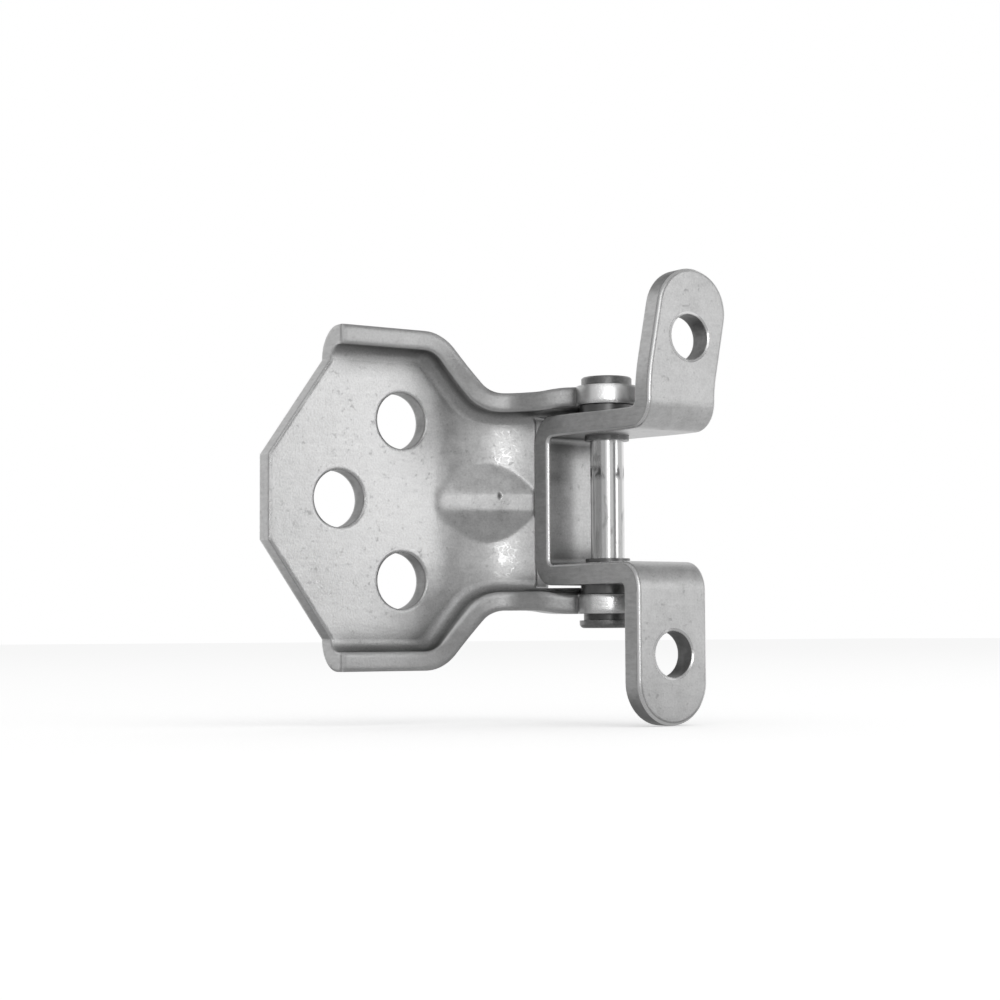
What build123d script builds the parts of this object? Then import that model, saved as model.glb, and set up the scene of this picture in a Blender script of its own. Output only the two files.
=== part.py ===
"""Truck door hinge: a pressed pillar leaf, a folded door leaf, and the pin and bushes that join them.

Millimetres. X runs along the pillar plate towards the pin, Y runs into the pillar, Z runs up along the pin.
The origin is on the pillar leaf's back face, at mid height, midway between its two columns of bolt holes.
"""

import os
from math import acos, asin, atan2, cos, degrees, hypot, radians, sin, tan

from build123d import *

# Sheet of the pillar leaf
SHEET = 4.5
BEND_RADIUS = 3.0

# Pillar plate and its bolt holes
BOLT_PITCH = 38.0
BOLT_STEP = 17.0
PILLAR_HOLE = 13.5
END_MARGIN = 18.4
END_EDGE = 19.6
CORNER_RUN = 16.3

# Pin, placed from the origin along the plate and from the plate's front face
PIN_DIAMETER = 8.0
PIN_OFFSET = 49.5
PIN_REACH = 26.5
HEAD_LIP = 2.0
HEAD_THICKNESS = 2.1
HEAD_CHAMFER = 0.3
TAIL_LIP = 2.8
TAIL_THICKNESS = 1.8
TAIL_ROUND = 1.1
WASHER_LIP = 1.8
WASHER_THICKNESS = 1.6

# Turned-up flanges of the plate, and the S-curve that brings them in to the ears
FLANGE_SPAN = 71.4
FLANGE_HEIGHT = 5.0
CURVE_TO_PIN = 37.5
CURVE_ANGLE = 50.0
CURVE_RADIUS = 8.5
EAR_JOGGLE = 0.9
JOGGLE_RADIUS = 14.0
EYE_WALL = 3.2

# Bow of the plate towards the pin, and the front edge of the arm that leaves it for the eye
BOW_TO_PIN = 33.5
BOW_RADIUS = 37.0
BOW_OVERRUN = 8.0
EAR_RELIEF = 9.0
ARM_LEAD = 12.0
ARM_BELLY = 1.0
ARM_MEET_ANGLE = 142.0
ARM_MEET_SLOPE = 40.0

# Stiffening dart pressed across the bow
DART_CREST = 4.0
DART_SLOPE = 15.5
DART_DEPTH = 2.7
DART_START_ANGLE = 4.0
DART_TIP_HEIGHT = 0.2
DART_ROUND = 1.5

# Bushes
BUSH_WALL = 1.25
BUSH_LIP = 1.2
BUSH_FLANGE_THICKNESS = 2.2
BUSH_OVERHANG = 1.2
RUNNING_CLEARANCE = 0.03
SIDE_CLEARANCE = 0.1

# Door leaf, and the strip that it is folded from
STRIP_WIDTH = 20.0
STRIP_THICKNESS = 5.0
STRIP_ROUND = 1.0
FOLD_RADIUS = 1.5
LEG_SPAN = 40.4
WEB_REACH = 15.6
TAB_REACH = 24.5
TAB_PITCH = 73.0
TAB_HOLE = 10.5
TAB_END = 16.2
TAB_STAGGER = 5.6
UPPER_LEAN = 11.0
LEAN_RADIUS = 40.0
SWEEP_CLEARANCE = 0.6
NOTCH_SIDE_GAP = 0.5

# Radii and heights worked out from the sizes above
PIN_RADIUS = PIN_DIAMETER / 2
EYE_RADIUS = PIN_RADIUS + EYE_WALL
BUSH_BORE = PIN_RADIUS + RUNNING_CLEARANCE
BUSH_RADIUS = BUSH_BORE + BUSH_WALL
BUSH_FLANGE = BUSH_RADIUS + BUSH_LIP
LEG_OUTSIDE = LEG_SPAN / 2
EAR_INSIDE = LEG_OUTSIDE + BUSH_FLANGE_THICKNESS + SIDE_CLEARANCE
EAR_OUTSIDE = EAR_INSIDE + SHEET
NECK_INSIDE = EAR_INSIDE - EAR_JOGGLE
FLANGE_INSIDE = FLANGE_SPAN / 2
CORNER_TOP = FLANGE_INSIDE - BEND_RADIUS
TAIL_TOP = -EAR_OUTSIDE - WASHER_THICKNESS
STRIP_END = TAB_PITCH / 2 + TAB_END
TAB_START = LEG_OUTSIDE + FOLD_RADIUS
SWEEP_RADIUS = hypot(STRIP_WIDTH / 2, WEB_REACH) + SWEEP_CLEARANCE

# Places along the plate and in front of it
BOLT_X = BOLT_STEP / 2
PLATE_START = -BOLT_X - END_MARGIN
PIN_Y = -(SHEET + PIN_REACH)
WEB_Y = PIN_Y + WEB_REACH
TAB_Y = PIN_Y - TAB_REACH
STRIP_LEFT = PIN_OFFSET - STRIP_WIDTH / 2
LEG_START_Y = WEB_Y - STRIP_THICKNESS - FOLD_RADIUS
LEG_END_Y = TAB_Y + STRIP_THICKNESS + FOLD_RADIUS
LEG_RUN = LEG_START_Y - LEG_END_Y
CURVE_X = PIN_OFFSET - CURVE_TO_PIN
EAR_X = PIN_OFFSET - BUSH_FLANGE
BOW_X = PIN_OFFSET - BOW_TO_PIN
BOW_CENTRE_Y = -(SHEET + BOW_RADIUS)
PIN_AXIS = Axis((PIN_OFFSET, PIN_Y, 0), (0, 0, 1))
PIN_PLANE = Plane((PIN_OFFSET, PIN_Y, 0), x_dir=(1, 0, 0), z_dir=(0, -1, 0))

# Angles: beside the ears the bow runs on past the circle that the door leaf's web sweeps
PIN_RISE = PIN_Y - BOW_CENTRE_Y
PIN_DISTANCE = hypot(BOW_TO_PIN, PIN_RISE)
SWEEP_COSINE = (BOW_RADIUS**2 + PIN_DISTANCE**2 - SWEEP_RADIUS**2) / (2 * BOW_RADIUS * PIN_DISTANCE)
NOTCH_ANGLE = degrees(atan2(BOW_TO_PIN, PIN_RISE) - acos(SWEEP_COSINE))
BOW_ANGLE = NOTCH_ANGLE + BOW_OVERRUN
ARM_START_ANGLE = NOTCH_ANGLE - ARM_LEAD
JOGGLE_ANGLE = degrees(acos(1 - EAR_JOGGLE / (2 * JOGGLE_RADIUS)))

# Upper tab: how far it is set over at its fold, so that its hole comes out at the stagger
LEAN_RISE = LEAN_RADIUS * sin(radians(UPPER_LEAN))
LEAN_DRIFT = LEAN_RADIUS * (1 - cos(radians(UPPER_LEAN)))
HOLE_RISE = TAB_PITCH / 2 - TAB_START - LEAN_RISE
UPPER_SET = TAB_STAGGER - LEAN_DRIFT - HOLE_RISE * tan(radians(UPPER_LEAN))
SET_ANGLE = 2 * degrees(atan2(UPPER_SET, LEG_RUN))
SET_RADIUS = LEG_RUN / (2 * sin(radians(SET_ANGLE)))

# Room that the forming solids need beyond the finished leaf
MARGIN = 20.0
FORM_DEPTH = SHEET + PIN_REACH + TAB_REACH + MARGIN
FORM_HEIGHT = FLANGE_INSIDE + SHEET + MARGIN
TOLERANCE = 0.001


def heading(angle):
    """Returns the direction that slopes towards the viewer at an angle in degrees, in side view."""
    return cos(radians(angle)), -sin(radians(angle))


def bow_point(angle, height):
    """Returns the side-view point at an angle along the bow and a height in front of the plate's face."""
    reach = BOW_RADIUS - height
    return Vector(BOW_X + reach * sin(radians(angle)), BOW_CENTRE_Y + reach * cos(radians(angle)))


def floor_line(layer):
    """Draws the plate's side view: flat, then bowed. layer is the depth into the sheet from the back face."""
    flat = Line((PLATE_START - MARGIN, -layer), (BOW_X, -layer))
    bow = JernArc(flat @ 1, flat % 1, BOW_RADIUS + SHEET - layer, -BOW_ANGLE)
    return flat, bow


def flange_line(layer):
    """Draws the upper flange in plan, from plate to ear. layer is the distance out from its inner face."""
    turn = radians(CURVE_ANGLE)
    drop = FLANGE_INSIDE - NECK_INSIDE
    slope_length = (drop - 2 * CURVE_RADIUS * (1 - cos(turn))) / sin(turn)
    joggle_x = EAR_X - 2 * JOGGLE_RADIUS * sin(radians(JOGGLE_ANGLE))
    plate_run = Line((PLATE_START - MARGIN, FLANGE_INSIDE + layer), (CURVE_X, FLANGE_INSIDE + layer))
    turn_in = JernArc(plate_run @ 1, plate_run % 1, CURVE_RADIUS - SHEET / 2 + layer, -CURVE_ANGLE)
    slope = PolarLine(turn_in @ 1, slope_length, direction=turn_in % 1)
    turn_out = JernArc(slope @ 1, slope % 1, CURVE_RADIUS + SHEET / 2 - layer, CURVE_ANGLE)
    neck_run = Line(turn_out @ 1, (joggle_x, NECK_INSIDE + layer))
    flare = JernArc(neck_run @ 1, neck_run % 1, JOGGLE_RADIUS - layer, JOGGLE_ANGLE)
    straighten = JernArc(flare @ 1, flare % 1, JOGGLE_RADIUS + layer, -JOGGLE_ANGLE)
    ear_run = Line(straighten @ 1, (PIN_OFFSET + EYE_RADIUS + MARGIN, EAR_INSIDE + layer))
    return plate_run, ear_run


def form(floor_layer, flange_layer, bend_radius):
    """Returns the upper half of the space in front of the plate and inside the flange, with its bend."""
    with BuildPart() as half:
        with BuildSketch(Plane.XZ):
            with BuildLine():
                plate_run, ear_run = flange_line(flange_layer)
                Polyline(ear_run @ 1, ((ear_run @ 1).X, 0), ((plate_run @ 0).X, 0), plate_run @ 0)
            make_face()
        extrude(amount=FORM_DEPTH)
        with BuildSketch(Plane.XY):
            with BuildLine():
                flat, bow = floor_line(floor_layer)
                relief = JernArc(bow @ 1, bow % 1, EAR_RELIEF + floor_layer, BOW_ANGLE)
                run_out = PolarLine(relief @ 1, FORM_DEPTH, direction=relief % 1)
                far_corner = ((run_out @ 1).X, -FORM_DEPTH)
                near_corner = ((flat @ 0).X, -FORM_DEPTH)
                Polyline(run_out @ 1, far_corner, near_corner, flat @ 0)
            make_face()
        extrude(amount=FORM_HEIGHT, mode=Mode.INTERSECT)
        floor = half.faces().filter_by(lambda face: face.normal_at().Y > 0.5)
        fillet(floor.edges().filter_by(lambda edge: edge.center().Z > NECK_INSIDE / 2), bend_radius)
    return half.part


def eye_tangent(start):
    """Returns the point where a line from start touches the eye on its side away from the plate."""
    run = PIN_OFFSET - start.X
    rise = PIN_Y - start.Y
    bearing = atan2(rise, run) + asin(EYE_RADIUS / hypot(run, rise))
    length = (run**2 + rise**2 - EYE_RADIUS**2) ** 0.5
    return start + Vector(length * cos(bearing), length * sin(bearing))


def fold_line(layer):
    """Draws one face of the folded strip from mid web to tab end. layer is its depth from the back face."""
    corner_radius = FOLD_RADIUS + STRIP_THICKNESS - layer
    flare_radius = FOLD_RADIUS + layer
    leg_z = LEG_OUTSIDE - layer
    tab_y = TAB_Y + STRIP_THICKNESS - layer
    web_run = Line((WEB_Y - layer, 0), (WEB_Y - layer, leg_z - corner_radius))
    corner = JernArc(web_run @ 1, web_run % 1, corner_radius, 90)
    leg_run = Line(corner @ 1, (tab_y + flare_radius, leg_z))
    flare = JernArc(leg_run @ 1, leg_run % 1, flare_radius, -90)
    tab_run = Line(flare @ 1, (tab_y, STRIP_END + MARGIN))
    return web_run, corner, leg_run, flare, tab_run


def folded_half(width):
    """Returns the strip's fold from mid web to past the tab's end, this wide from the strip's left side."""
    with BuildPart() as half:
        with BuildSketch(Plane.YZ.offset(STRIP_LEFT)):
            with BuildLine():
                back = fold_line(0)
                front = fold_line(STRIP_THICKNESS)
                Line(back[0] @ 0, front[0] @ 0)
                Line(back[-1] @ 1, front[-1] @ 1)
            make_face()
        extrude(amount=width)
    return half.part


def leg_edge(start_x):
    """Draws one side of the upper leg in plan, from the web out to where the tab is set over."""
    web_side = Line((start_x, 0), (start_x, LEG_START_Y))
    run_out = JernArc(web_side @ 1, web_side % 1, SET_RADIUS, SET_ANGLE)
    leg_side = JernArc(run_out @ 1, run_out % 1, SET_RADIUS, -SET_ANGLE)
    return web_side, leg_side


def is_front_rim(edge):
    """Returns whether an edge of the folded strip runs round its front face, and isn't a fold's edge."""
    middle = edge @ 0.5
    along_fold = edge.geom_type == GeomType.LINE and abs((edge % 0.5).X) > 1 - TOLERANCE
    section_point = Vector(PIN_OFFSET, middle.Y, abs(middle.Z))
    return not along_fold and front_line.line.distance_to(section_point) < TOLERANCE


def bush():
    """Returns the upper flanged bush, seated in its leg."""
    flange_top = LEG_OUTSIDE + BUSH_FLANGE_THICKNESS
    sleeve_end = LEG_OUTSIDE - STRIP_THICKNESS - BUSH_OVERHANG
    with BuildPart() as sleeve:
        with BuildSketch(PIN_PLANE):
            with BuildLine():
                Polyline(
                    (BUSH_BORE, flange_top),
                    (BUSH_FLANGE, flange_top),
                    (BUSH_FLANGE, LEG_OUTSIDE),
                    (BUSH_RADIUS, LEG_OUTSIDE),
                    (BUSH_RADIUS, sleeve_end),
                    (BUSH_BORE, sleeve_end),
                    close=True,
                )
            make_face()
        revolve(axis=PIN_AXIS)
    return sleeve.part


# Solids that form the pillar leaf: its outside, its inside, and the room the turning web needs
outer_form = form(0, SHEET, BEND_RADIUS + SHEET)
inner_form = form(SHEET, 0, BEND_RADIUS)

with BuildPart() as notch:
    with Locations((PIN_OFFSET, PIN_Y, 0)):
        Cylinder(SWEEP_RADIUS, 2 * (LEG_OUTSIDE + NOTCH_SIDE_GAP))

# Dart: a ridge with a flat crest that spans the bow as a straight line
dart_start = bow_point(DART_START_ANGLE, 0)
dart_run = bow_point(NOTCH_ANGLE, DART_TIP_HEIGHT) - dart_start
dart_plane = Plane(dart_start, x_dir=(0, 0, 1), z_dir=dart_run)
dart_base = DART_CREST + 2 * DART_DEPTH / tan(radians(DART_SLOPE))

with BuildPart() as dart:
    with BuildSketch(dart_plane):
        with BuildLine():
            Polyline(
                (-DART_CREST / 2, 0),
                (DART_CREST / 2, 0),
                (dart_base / 2, -DART_DEPTH),
                (-dart_base / 2, -DART_DEPTH),
                close=True,
            )
        make_face()
    extrude(amount=dart_run.length + SHEET)
    along_dart = dart.edges().filter_by(Axis(dart_start, dart_run))
    fillet(along_dart.group_by(Axis.Y)[0], DART_ROUND)

# Pillar leaf: one pressing, made as its upper half and mirrored
with BuildPart() as pillar_leaf:
    add(outer_form)
    add(inner_form, mode=Mode.SUBTRACT)
    # Side view: the plate with its low flange, the arm that rises to the pin, and the eye
    with BuildSketch(Plane.XY):
        with BuildLine():
            flat, bow = floor_line(0)
            meet = Vector(PIN_OFFSET, PIN_Y) + Vector(EYE_RADIUS, 0).rotate(Axis.Z, ARM_MEET_ANGLE)
            Polyline(bow @ 1, eye_tangent(bow @ 1), (PIN_OFFSET, PIN_Y), meet)
            arm_start = bow_point(ARM_START_ANGLE, FLANGE_HEIGHT)
            arm_chord = meet - arm_start
            arm_belly = (meet + arm_start) / 2 + arm_chord.normalized().rotate(Axis.Z, -90) * ARM_BELLY
            arm_ends = (heading(ARM_START_ANGLE), heading(ARM_MEET_SLOPE))
            Spline(arm_start, arm_belly, meet, tangents=arm_ends)
            flange_start = Vector(BOW_X, -SHEET - FLANGE_HEIGHT)
            JernArc(flange_start, (1, 0), BOW_RADIUS - FLANGE_HEIGHT, -ARM_START_ANGLE)
            Polyline(flange_start, ((flat @ 0).X, flange_start.Y), flat @ 0)
        make_face()
        with Locations((PIN_OFFSET, PIN_Y)):
            Circle(EYE_RADIUS)
    extrude(amount=FORM_HEIGHT, mode=Mode.INTERSECT)
    # Plan of the blank: a straight end, a long chamfer, and a square end to the flange
    with BuildSketch(Plane.XZ):
        with BuildLine():
            Polyline(
                (PLATE_START, 0),
                (PLATE_START, END_EDGE / 2),
                (PLATE_START + CORNER_RUN, CORNER_TOP),
                (PLATE_START + CORNER_RUN, FORM_HEIGHT),
                (PIN_OFFSET + MARGIN, FORM_HEIGHT),
                (PIN_OFFSET + MARGIN, 0),
                close=True,
            )
        make_face()
    extrude(amount=FORM_DEPTH, mode=Mode.INTERSECT)
    mirror(about=Plane.XY)
    # The dart stands out of the front face and leaves its hollow in the back face
    add(dart.part)
    add(dart.part.translate(dart_plane.y_dir * -SHEET), mode=Mode.SUBTRACT)
    add(notch.part, mode=Mode.SUBTRACT)
    with BuildSketch(Plane.XZ):
        with Locations((-BOLT_X, 0), (BOLT_X, BOLT_PITCH / 2), (BOLT_X, -BOLT_PITCH / 2)):
            Circle(PILLAR_HOLE / 2)
    extrude(amount=SHEET, mode=Mode.SUBTRACT)
    with Locations((PIN_OFFSET, PIN_Y, 0)):
        Cylinder(PIN_RADIUS, 2 * FORM_HEIGHT, mode=Mode.SUBTRACT)

# Upper half of the door leaf: its tab is set over to one side and leans the same way
with BuildPart() as upper_half:
    add(folded_half(3 * STRIP_WIDTH))
    with BuildSketch(Plane.XY):
        with BuildLine():
            left_web, left_leg = leg_edge(STRIP_LEFT)
            right_web, right_leg = leg_edge(STRIP_LEFT + STRIP_WIDTH)
            far_x = STRIP_LEFT + 3 * STRIP_WIDTH
            tab_left = ((left_leg @ 1).X, -FORM_DEPTH)
            Polyline(left_leg @ 1, tab_left, (far_x, -FORM_DEPTH), (far_x, LEG_END_Y), right_leg @ 1)
            Line(left_web @ 0, right_web @ 0)
        make_face()
    extrude(amount=FORM_HEIGHT, mode=Mode.INTERSECT)
    # Tab in front view: it starts upright, turns to its lean, and ends in a full round
    with BuildSketch(Plane.XZ.offset(-LEG_END_Y)):
        with Locations((PIN_OFFSET, 0)):
            Rectangle(6 * STRIP_WIDTH, 4 * STRIP_END)
        with BuildLine():
            side_run = HOLE_RISE / cos(radians(UPPER_LEAN)) + TAB_END - STRIP_WIDTH / 2
            root = Line((STRIP_LEFT + UPPER_SET, 0), (STRIP_LEFT + UPPER_SET, TAB_START))
            left_turn = JernArc(root @ 1, root % 1, LEAN_RADIUS + STRIP_WIDTH / 2, -UPPER_LEAN)
            left_side = PolarLine(left_turn @ 1, side_run, direction=left_turn % 1)
            crown = JernArc(left_side @ 1, left_side % 1, STRIP_WIDTH / 2, -180)
            right_side = PolarLine(crown @ 1, side_run, direction=crown % 1)
            right_turn = JernArc(right_side @ 1, right_side % 1, LEAN_RADIUS - STRIP_WIDTH / 2, UPPER_LEAN)
            Polyline(right_turn @ 1, ((right_turn @ 1).X, 0), root @ 0)
        make_face(mode=Mode.SUBTRACT)
    extrude(amount=FORM_DEPTH, mode=Mode.SUBTRACT)

# Lower half: its tab stands straight under the pin, and ends in the same full round
with BuildPart() as lower_half:
    add(folded_half(STRIP_WIDTH))
    with BuildSketch(Plane.XZ):
        with Locations((PIN_OFFSET, 0)):
            SlotOverall(2 * STRIP_END, STRIP_WIDTH, rotation=90)
    extrude(amount=FORM_DEPTH, mode=Mode.INTERSECT)
    mirror(about=Plane.XY, mode=Mode.REPLACE)

# Door leaf: one strip folded to a hat
with BuildLine(Plane.YZ.offset(PIN_OFFSET)) as front_line:
    fold_line(STRIP_THICKNESS)

with BuildPart() as door_leaf:
    add(upper_half.part)
    add(lower_half.part)
    fillet(door_leaf.edges().filter_by(is_front_rim), STRIP_ROUND)
    with Locations((PIN_OFFSET, PIN_Y, 0)):
        Cylinder(BUSH_RADIUS, LEG_SPAN, mode=Mode.SUBTRACT)
    with BuildSketch(Plane.XZ.offset(-TAB_Y)):
        with Locations((PIN_OFFSET + TAB_STAGGER, TAB_PITCH / 2), (PIN_OFFSET, -TAB_PITCH / 2)):
            Circle(TAB_HOLE / 2)
    extrude(amount=-STRIP_THICKNESS, mode=Mode.SUBTRACT)

# Pin, with its head at the top and its tail formed over below the washer
with BuildPart() as hinge_pin:
    with BuildSketch(PIN_PLANE):
        with BuildLine():
            Polyline(
                (0, EAR_OUTSIDE + HEAD_THICKNESS),
                (PIN_RADIUS + HEAD_LIP, EAR_OUTSIDE + HEAD_THICKNESS),
                (PIN_RADIUS + HEAD_LIP, EAR_OUTSIDE),
                (PIN_RADIUS, EAR_OUTSIDE),
                (PIN_RADIUS, TAIL_TOP),
                (PIN_RADIUS + TAIL_LIP, TAIL_TOP),
                (PIN_RADIUS + TAIL_LIP, TAIL_TOP - TAIL_THICKNESS),
                (0, TAIL_TOP - TAIL_THICKNESS),
                close=True,
            )
        make_face()
    revolve(axis=PIN_AXIS)
    rims = hinge_pin.edges().filter_by(GeomType.CIRCLE).group_by(Axis.Z)
    fillet(rims[0], TAIL_ROUND)
    chamfer(rims[-1], HEAD_CHAMFER)

with BuildPart() as tail_washer:
    with BuildSketch(Plane((PIN_OFFSET, PIN_Y, TAIL_TOP))):
        Circle(PIN_RADIUS + WASHER_LIP)
        Circle(PIN_RADIUS, mode=Mode.SUBTRACT)
    extrude(amount=WASHER_THICKNESS)

# Bushes: one flanged sleeve in each leg
with BuildPart() as upper_bush:
    add(bush())

with BuildPart() as lower_bush:
    add(bush().mirror(Plane.XY))

os.makedirs("parts", exist_ok=True)
pillar_leaf.part.label = "pillar_leaf"
export_step(pillar_leaf.part, "parts/pillar_leaf.step")
door_leaf.part.label = "door_leaf"
export_step(door_leaf.part, "parts/door_leaf.step")
hinge_pin.part.label = "hinge_pin"
export_step(hinge_pin.part, "parts/hinge_pin.step")
tail_washer.part.label = "tail_washer"
export_step(tail_washer.part, "parts/tail_washer.step")
upper_bush.part.label = "upper_bush"
export_step(upper_bush.part, "parts/upper_bush.step")
lower_bush.part.label = "lower_bush"
export_step(lower_bush.part, "parts/lower_bush.step")
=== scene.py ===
"""Looks of the truck door hinge: zinc-plated leaves, polished pin, dark bushes, and a studio round them.

Metres, in the part's own frame: X along the plate towards the pin, Y into the pillar, Z up along the pin.
"""

import logging
import math
from dataclasses import dataclass, field
from enum import Enum
from typing import List, Mapping, Optional, Sequence, Tuple, Union

import bpy
from mathutils import Matrix, Vector


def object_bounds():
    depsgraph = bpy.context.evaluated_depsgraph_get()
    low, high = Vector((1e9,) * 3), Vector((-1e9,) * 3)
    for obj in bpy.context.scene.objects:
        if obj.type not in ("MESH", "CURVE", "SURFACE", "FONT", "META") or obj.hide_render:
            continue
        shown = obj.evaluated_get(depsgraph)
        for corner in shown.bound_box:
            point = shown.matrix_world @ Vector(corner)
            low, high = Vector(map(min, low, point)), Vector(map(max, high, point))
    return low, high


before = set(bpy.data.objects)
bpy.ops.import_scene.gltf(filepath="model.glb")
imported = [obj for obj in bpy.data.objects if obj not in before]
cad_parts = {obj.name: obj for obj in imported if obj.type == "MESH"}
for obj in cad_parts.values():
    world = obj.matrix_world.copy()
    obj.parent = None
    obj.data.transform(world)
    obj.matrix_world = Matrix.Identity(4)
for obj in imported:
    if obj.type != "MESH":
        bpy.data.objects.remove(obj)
CAD_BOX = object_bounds()
LOG = logging.getLogger("hinge")
MM = 0.001

Link = Union["Signal", int, float, Sequence[float]]
Key = Union[int, str]
Span = Tuple[float, float]
Point = Tuple[float, float, float]
Colour = Tuple[float, float, float, float]

# Rays that the rounded edges and the shaded corners take, and the spans in which their masks go over
CORNER_SAMPLES = 8
CORNER_OPENNESS: Span = (0.58, 0.97)
EDGE_TURN: Span = (0.004, 0.12)

# Spans in which the masks of faces go over, by how squarely a face looks in a direction
EDGE_ON: Span = (0.2, 0.4)
FRONT: Span = (-0.5, -0.3)
FULL_FRONT: Span = (-0.8, -0.6)
HOLE_WALL: Span = (0.3, 0.5)
STRIP_SIDE: Span = (0.3, 0.6)
LEFT_END: Span = (-0.8, -0.6)
NOTCH_WALL: Span = (0.45, 0.6)
FLANGE_RIM: Span = (0.2, 0.45)
RIM_ROUND: Span = (0.86, 0.95)
TAB_CROWN: Span = (0.2, 0.6)
EYE_NEAR_SIDE: Span = (0.62, 0.97)
EYE_FAR_SIDE: Span = (-0.45, 0.35)
EAR_INSIDE: Span = (0.6, 0.8)

# Spans in which they go over by place: along the plate, by height from its middle, and out in front
HOLE_COLUMNS: Span = (17.0 * MM, 18.0 * MM)
LEFT_PART: Span = (-10.0 * MM, -9.0 * MM)
BOW_PART: Span = (28.0 * MM, 29.0 * MM)
EYE_PART: Span = (44.0 * MM, 45.0 * MM)
PLATE_HALF: Span = (32.2 * MM, 32.6 * MM)
NOTCH_HALF: Span = (20.5 * MM, 21.2 * MM)
RIM_HALF: Span = (21.2 * MM, 21.6 * MM)
EAR_HALF: Span = (23.0 * MM, 23.5 * MM)
RIM_FRONT: Span = (-8.4 * MM, -8.0 * MM)
EAR_FRONT: Span = (-14.0 * MM, -12.0 * MM)
EYE_FRONT: Span = (-29.5 * MM, -28.5 * MM)
WALL_GAP: Span = (0.2 * MM, 0.5 * MM)


def grey(level: float) -> Colour:
    """Returns an opaque neutral colour of this level."""
    return (level, level, level, 1.0)


class Signal:
    """One output socket, with arithmetic that adds Math nodes to its tree."""

    def __init__(self, net: "ShaderNet", socket: Optional[bpy.types.NodeSocket]) -> None:
        """Keeps the tree and the socket."""
        self.net = net
        self.socket = socket

    def _math(self, operation: str, *values: Link) -> "Signal":
        """Adds one Math node.

        Args:
            operation: Blender's name of the operation.
            values: the node's inputs, in order.

        Returns:
            The node's result.
        """
        return self.net.node("ShaderNodeMath", {"operation": operation}, dict(enumerate(values)))

    def __add__(self, other: Link) -> "Signal":
        """Returns the sum."""
        return self._math("ADD", self, other)

    def __radd__(self, other: Link) -> "Signal":
        """Returns the sum, from the right."""
        return self._math("ADD", other, self)

    def __sub__(self, other: Link) -> "Signal":
        """Returns the difference."""
        return self._math("SUBTRACT", self, other)

    def __rsub__(self, other: Link) -> "Signal":
        """Returns the difference, from the right."""
        return self._math("SUBTRACT", other, self)

    def __mul__(self, other: Link) -> "Signal":
        """Returns the product."""
        return self._math("MULTIPLY", self, other)

    def __rmul__(self, other: Link) -> "Signal":
        """Returns the product, from the right."""
        return self._math("MULTIPLY", other, self)

    def __abs__(self) -> "Signal":
        """Returns the size without its sign."""
        return self._math("ABSOLUTE", self)

    def __or__(self, other: Link) -> "Signal":
        """Returns the larger, which joins two masks."""
        return self._math("MAXIMUM", self, other)

    def __ror__(self, other: Link) -> "Signal":
        """Returns the larger, from the right."""
        return self._math("MAXIMUM", other, self)

    def above(self, low: float, high: float) -> "Signal":
        """Turns a value into a mask with a smooth rise.

        Args:
            low: where the mask starts to rise from 0.
            high: where it reaches 1.

        Returns:
            The mask.
        """
        sockets = {"Value": self, "From Min": low, "From Max": high}
        return self.net.node("ShaderNodeMapRange", {"interpolation_type": "SMOOTHSTEP"}, sockets, "Result")

    def below(self, low: float, high: float) -> "Signal":
        """Returns a mask that is 1 under low and 0 over high."""
        return 1 - self.above(low, high)

    def clamped(self, low: float = 0.0, high: float = 1.0) -> "Signal":
        """Returns the value held between two limits."""
        return self.net.node("ShaderNodeClamp", {}, {"Value": self, "Min": low, "Max": high})

    def also(self, output: Key) -> "Signal":
        """Returns another output of the same node."""
        return Signal(self.net, ShaderNet.socket(self.socket.node.outputs, output))


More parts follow.
